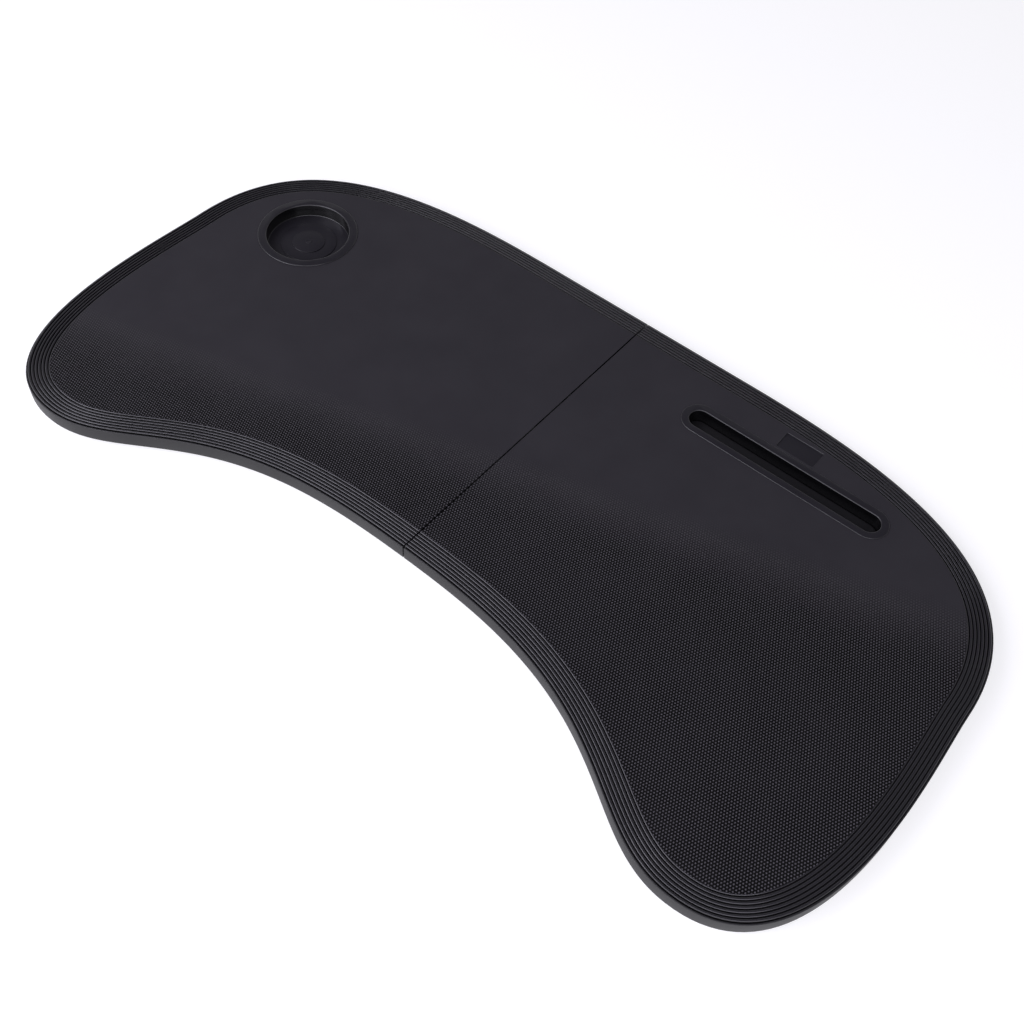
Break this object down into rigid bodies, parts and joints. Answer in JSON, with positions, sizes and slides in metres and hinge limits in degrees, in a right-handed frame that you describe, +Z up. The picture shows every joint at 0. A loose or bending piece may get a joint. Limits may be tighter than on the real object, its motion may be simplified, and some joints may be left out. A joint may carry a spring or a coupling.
{
  "type": "steering wheel tray",
  "caption": "Folding tray that hooks onto a steering wheel, with a cup well, a slot for a phone or tablet, a grooved border, seam hinges, a slide lock and swing-out hooks.",
  "frame": {"origin": "on the table under the middle of the tray, on the plane of the feet", "axes": "+X along the tray to the side with the slot, +Y away from the driver, +Z up out of the work surface"},
  "size_m": [0.6296, 0.322, 0.0158],
  "materials": {
    "textured_black_abs": "moulded ABS with a fine raised texture",
    "satin_black_abs": "moulded ABS, satin",
    "black_nylon": "moulded nylon, satin",
    "zinc_plated_steel": "bright zinc plating",
    "blackened_steel": "black zinc plating",
    "black_rubber": "matt"
  },
  "bodies": {
    "left_half": {"left_top_panel": "textured_black_abs", "left_bottom_shell": "satin_black_abs", "left_case_screw_1": "blackened_steel", "left_case_screw_2": "blackened_steel", "left_case_screw_3": "blackened_steel", "left_case_screw_4": "blackened_steel", "left_case_screw_5": "blackened_steel", "front_hinge_left_leaf": "zinc_plated_steel", "rear_hinge_left_leaf": "zinc_plated_steel", "left_hinge_screw_1": "zinc_plated_steel", "left_hinge_screw_2": "zinc_plated_steel", "left_hinge_screw_3": "zinc_plated_steel", "left_hinge_screw_4": "zinc_plated_steel", "left_hook_pin": "zinc_plated_steel", "left_front_foot": "black_rubber", "left_end_foot": "black_rubber", "left_rear_foot": "black_rubber", "front_hinge_pin": "zinc_plated_steel", "rear_hinge_pin": "zinc_plated_steel", "lock_cover_plate": "satin_black_abs", "lock_cover_screw_1": "zinc_plated_steel", "lock_cover_screw_2": "zinc_plated_steel", "lock_cover_screw_3": "zinc_plated_steel", "lock_cover_screw_4": "zinc_plated_steel"},
    "right_half": {"right_top_panel": "textured_black_abs", "right_bottom_shell": "satin_black_abs", "right_case_screw_1": "blackened_steel", "right_case_screw_2": "blackened_steel", "right_case_screw_3": "blackened_steel", "right_case_screw_4": "blackened_steel", "right_case_screw_5": "blackened_steel", "front_hinge_right_leaf": "zinc_plated_steel", "rear_hinge_right_leaf": "zinc_plated_steel", "right_hinge_screw_1": "zinc_plated_steel", "right_hinge_screw_2": "zinc_plated_steel", "right_hinge_screw_3": "zinc_plated_steel", "right_hinge_screw_4": "zinc_plated_steel", "right_hook_pin": "zinc_plated_steel", "right_front_foot": "black_rubber", "right_end_foot": "black_rubber", "right_rear_foot": "black_rubber", "lock_keeper_plate": "satin_black_abs", "lock_keeper_screw_1": "zinc_plated_steel", "lock_keeper_screw_2": "zinc_plated_steel"},
    "lock_bar": {"lock_slide": "black_nylon"},
    "left_wheel_hook": {"left_hook": "black_nylon"},
    "right_wheel_hook": {"right_hook": "black_nylon"}
  },
  "joints": [
    {"name": "seam_fold", "type": "hinge", "parent": "left_half", "child": "right_half", "pos_m": [0, 0, 0.0027], "axis": [0, 1, 0], "range_deg": [0, 178]},
    {"name": "lock_travel", "type": "slide", "parent": "left_half", "child": "lock_bar", "axis": [1, 0, 0], "range_m": [0, 0.022]},
    {"name": "left_hook_swing", "type": "hinge", "parent": "left_half", "child": "left_wheel_hook", "pos_m": [-0.122, 0.1502, 0.0062], "axis": [0, 0, -1], "range_deg": [0, 90]},
    {"name": "right_hook_swing", "type": "hinge", "parent": "right_half", "child": "right_wheel_hook", "pos_m": [0.122, 0.1502, 0.0062], "axis": [0, 0, 1], "range_deg": [0, 90]}
  ]
}
